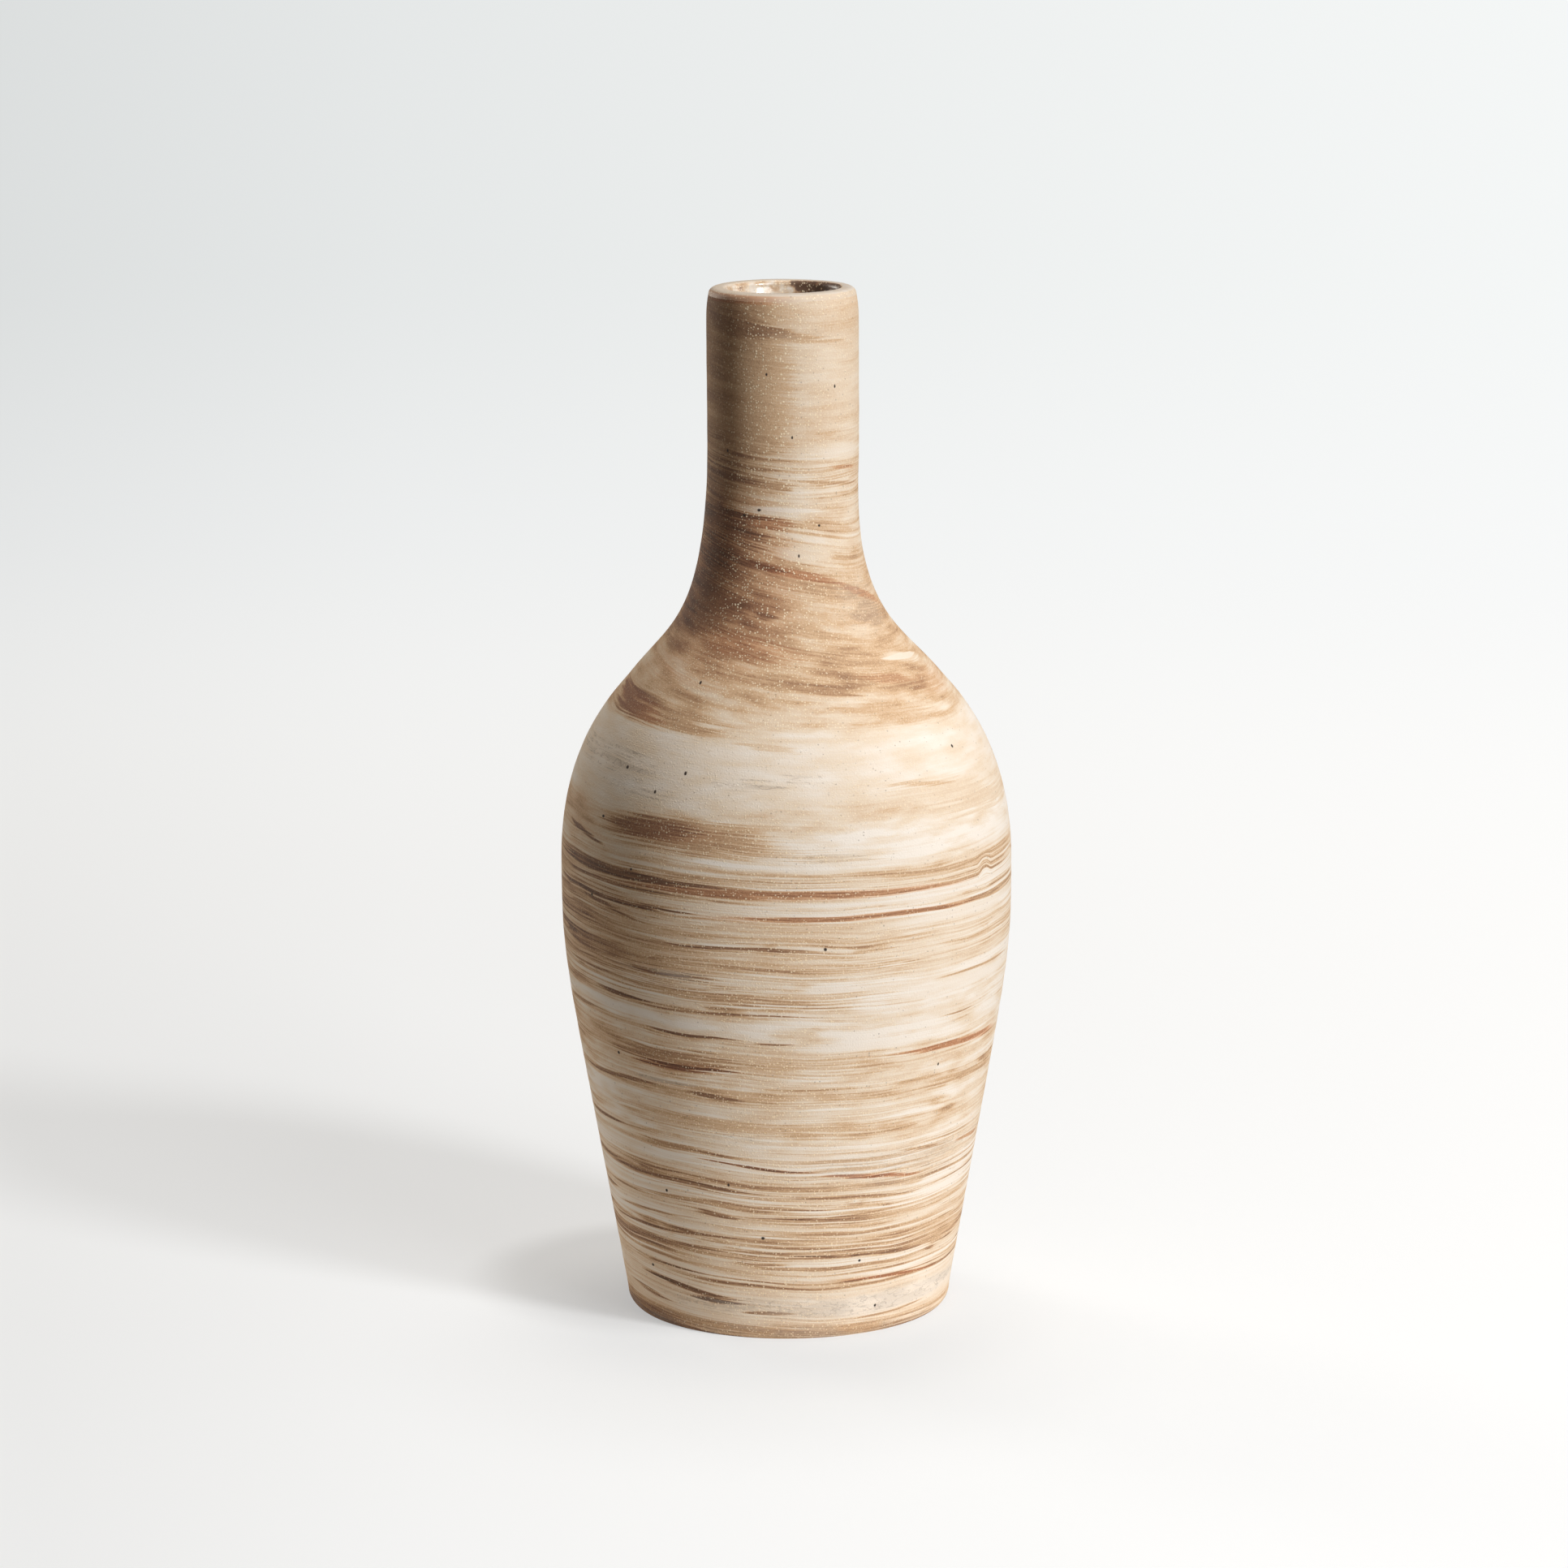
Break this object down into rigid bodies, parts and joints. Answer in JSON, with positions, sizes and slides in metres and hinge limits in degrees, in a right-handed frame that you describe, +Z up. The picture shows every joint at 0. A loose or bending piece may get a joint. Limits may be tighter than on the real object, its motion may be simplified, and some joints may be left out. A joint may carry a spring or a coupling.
{
  "type": "bottle vase",
  "caption": "Tall free-standing bottle vase of marbled clay with a tapered belly, rounded shoulder, straight narrow neck and glazed inside.",
  "frame": {"origin": "centre of the foot, on the surface that the vase stands on", "axes": "+Z up along the axis that the vase was thrown on, which is the neck's axis; -Y towards the side that the picture shows; +X to the right of it"},
  "size_m": [0.134, 0.134, 0.305],
  "materials": {
    "marbled_clay": "matt, unglazed, cream and brown clays marbled in fine horizontal streaks",
    "joint_slip": "matt, unglazed",
    "liner_glaze": "glossy clear glaze over the clay"
  },
  "bodies": {
    "root": {"lower_body": "marbled_clay", "slip_joint": "joint_slip", "upper_body": "marbled_clay", "inner_glaze": "liner_glaze"}
  },
  "joints": []
}
